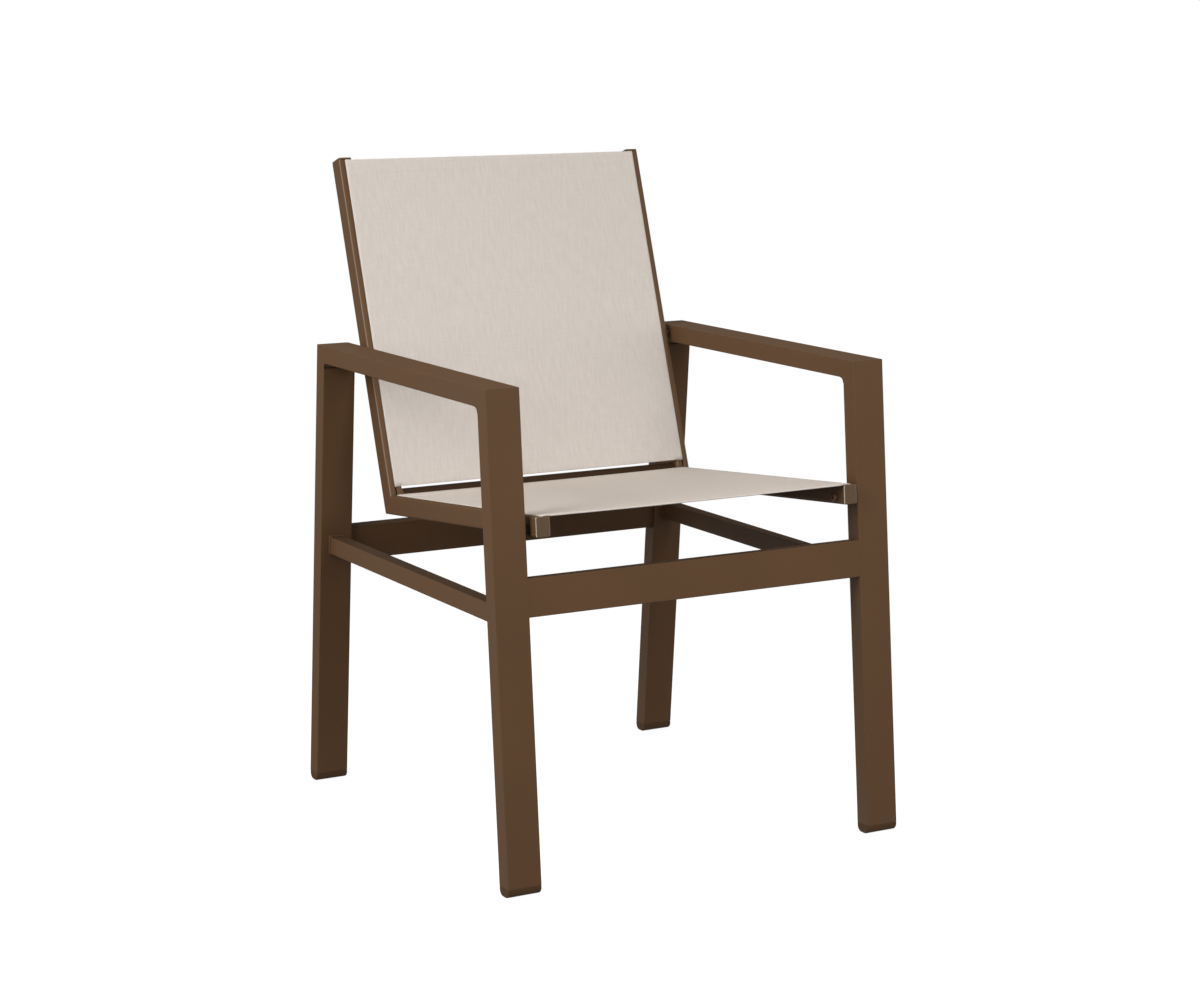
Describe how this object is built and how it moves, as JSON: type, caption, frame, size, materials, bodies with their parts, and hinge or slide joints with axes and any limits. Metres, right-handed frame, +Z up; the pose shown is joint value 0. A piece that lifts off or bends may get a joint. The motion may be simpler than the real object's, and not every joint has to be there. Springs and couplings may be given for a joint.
{
  "type": "sling patio chair",
  "caption": "Outdoor armchair with flat mitred side frames, aprons, and fabric slings stretched in an L-shaped extruded rail frame.",
  "frame": {"origin": "on the ground, at the middle of the footprint box", "axes": "+Z up; the chair's front faces -Y; +X is on the left of a person seated in the chair"},
  "size_m": [0.6, 0.6422, 0.9023],
  "materials": {
    "frame_paint": "satin brown powder coat on aluminium tube",
    "cap_plastic": "olive-bronze moulded plastic with a fine grain",
    "foot_plastic": "brown moulded plastic, scuffed underneath",
    "sling_cloth": "woven coated polyester yarn, greige linen look",
    "rod_plastic": "plain extruded rod",
    "bolt_paint": "brown painted steel",
    "spacer_plastic": "dark brown moulded plastic",
    "insert_steel": "zinc-plated steel"
  },
  "bodies": {
    "root": {"front_leg_left": "frame_paint", "front_leg_right": "frame_paint", "rear_leg_left": "frame_paint", "rear_leg_right": "frame_paint", "arm_left": "frame_paint", "arm_right": "frame_paint", "side_rail_left": "frame_paint", "side_rail_right": "frame_paint", "front_apron": "frame_paint", "rear_apron": "frame_paint", "seat_rail_left": "frame_paint", "seat_rail_right": "frame_paint", "back_rail_left": "frame_paint", "back_rail_right": "frame_paint", "corner_spreader": "frame_paint", "seat_spreader": "frame_paint", "upper_back_spreader": "frame_paint", "seat_rail_cap_left": "cap_plastic", "seat_rail_cap_right": "cap_plastic", "back_rail_cap_left": "cap_plastic", "back_rail_cap_right": "cap_plastic", "front_foot_left": "foot_plastic", "front_foot_right": "foot_plastic", "rear_foot_left": "foot_plastic", "rear_foot_right": "foot_plastic", "seat_sling": "sling_cloth", "back_sling": "sling_cloth", "seat_rod_left": "rod_plastic", "seat_rod_right": "rod_plastic", "back_rod_left": "rod_plastic", "back_rod_right": "rod_plastic", "seat_bolt_left": "bolt_paint", "seat_bolt_right": "bolt_paint", "back_bolt_left": "bolt_paint", "back_bolt_right": "bolt_paint", "seat_spacer_left": "spacer_plastic", "seat_spacer_right": "spacer_plastic", "back_spacer_left": "spacer_plastic", "back_spacer_right": "spacer_plastic", "seat_nut_insert_left": "insert_steel", "seat_nut_insert_right": "insert_steel", "back_nut_insert_left": "insert_steel", "back_nut_insert_right": "insert_steel"}
  },
  "joints": []
}
